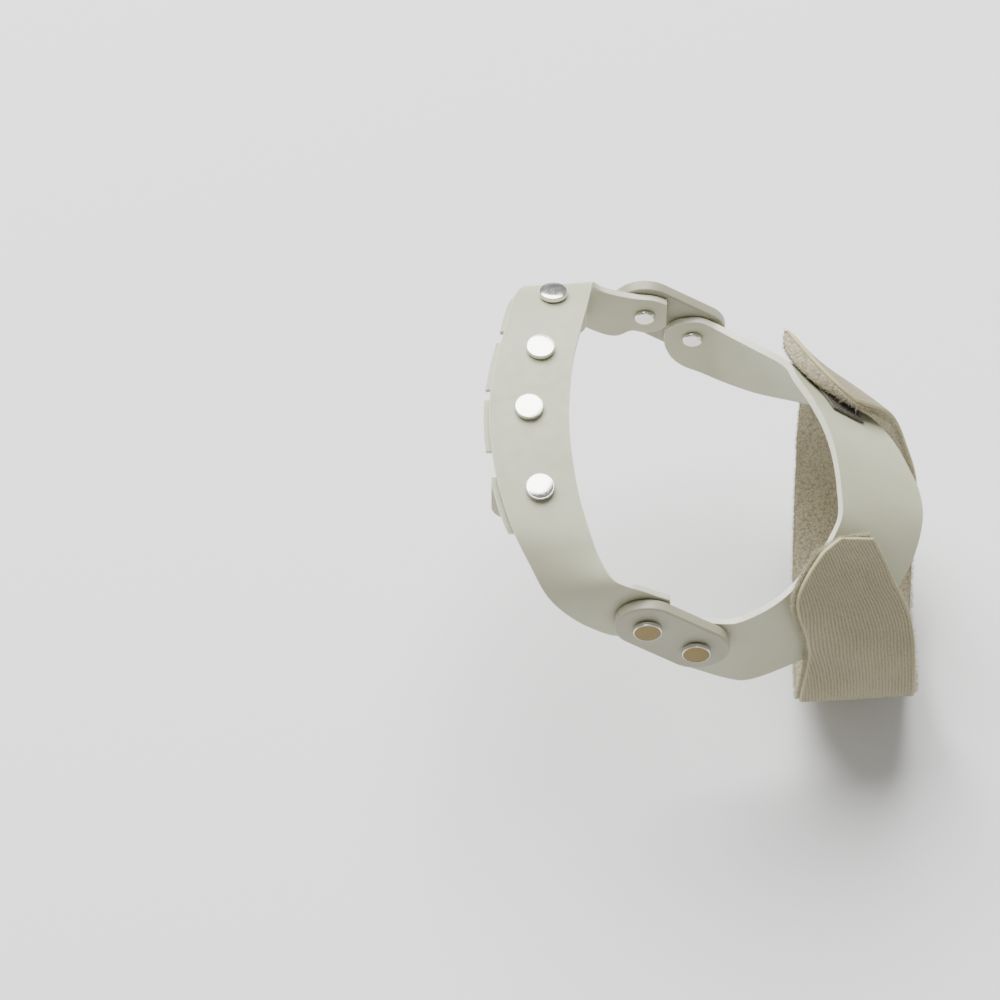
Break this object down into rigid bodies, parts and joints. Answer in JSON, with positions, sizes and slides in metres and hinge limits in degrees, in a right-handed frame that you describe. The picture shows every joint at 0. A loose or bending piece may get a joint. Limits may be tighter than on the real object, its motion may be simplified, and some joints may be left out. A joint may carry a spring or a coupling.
{
  "type": "ulnar deviation splint",
  "caption": "Right-hand finger splint: a riveted band with finger separators, hinged by side links to a wrist plate with a strap.",
  "frame": {"origin": "in the middle of the hollow for the hand at its knuckles, 1.6 mm under the midpoint between the hinges of a side", "axes": "+X from the fingers to the wrist, +Y towards the little-finger side, +Z out of the back of the hand"},
  "size_m": [0.1048, 0.0986, 0.0788],
  "materials": {
    "sheet_plastic": "matte grey-green formed sheet with pale cut edges",
    "link_plastic": "matte grey moulded plastic",
    "rivet_metal": "bright nickel plate",
    "hook_fabric": "hook tape",
    "strap_knit": "ribbed knit with a fuzzy pile"
  },
  "bodies": {
    "plate": {"wrist_plate": "sheet_plastic", "radial_hook_patch": "hook_fabric", "ulnar_hook_patch": "hook_fabric", "wrist_strap": "strap_knit"},
    "links": {"radial_link": "link_plastic", "ulnar_link": "link_plastic", "radial_band_rivet": "rivet_metal", "radial_plate_rivet": "rivet_metal", "ulnar_band_rivet": "rivet_metal", "ulnar_plate_rivet": "rivet_metal"},
    "band": {"finger_band": "sheet_plastic", "finger_separator_1": "sheet_plastic", "finger_separator_2": "sheet_plastic", "finger_separator_3": "sheet_plastic", "finger_separator_4": "sheet_plastic", "finger_rivet_1": "rivet_metal", "finger_rivet_2": "rivet_metal", "finger_rivet_3": "rivet_metal", "finger_rivet_4": "rivet_metal"}
  },
  "joints": [
    {"name": "link_swing", "type": "hinge", "parent": "plate", "child": "links", "pos_m": [0.00579, 0, -0.00293], "axis": [0, -1, 0], "range_deg": [-15, 45]},
    {"name": "band_swing", "type": "hinge", "parent": "links", "child": "band", "pos_m": [-0.00579, 0, 0.00613], "axis": [0, -1, 0], "range_deg": [-15, 45]}
  ]
}
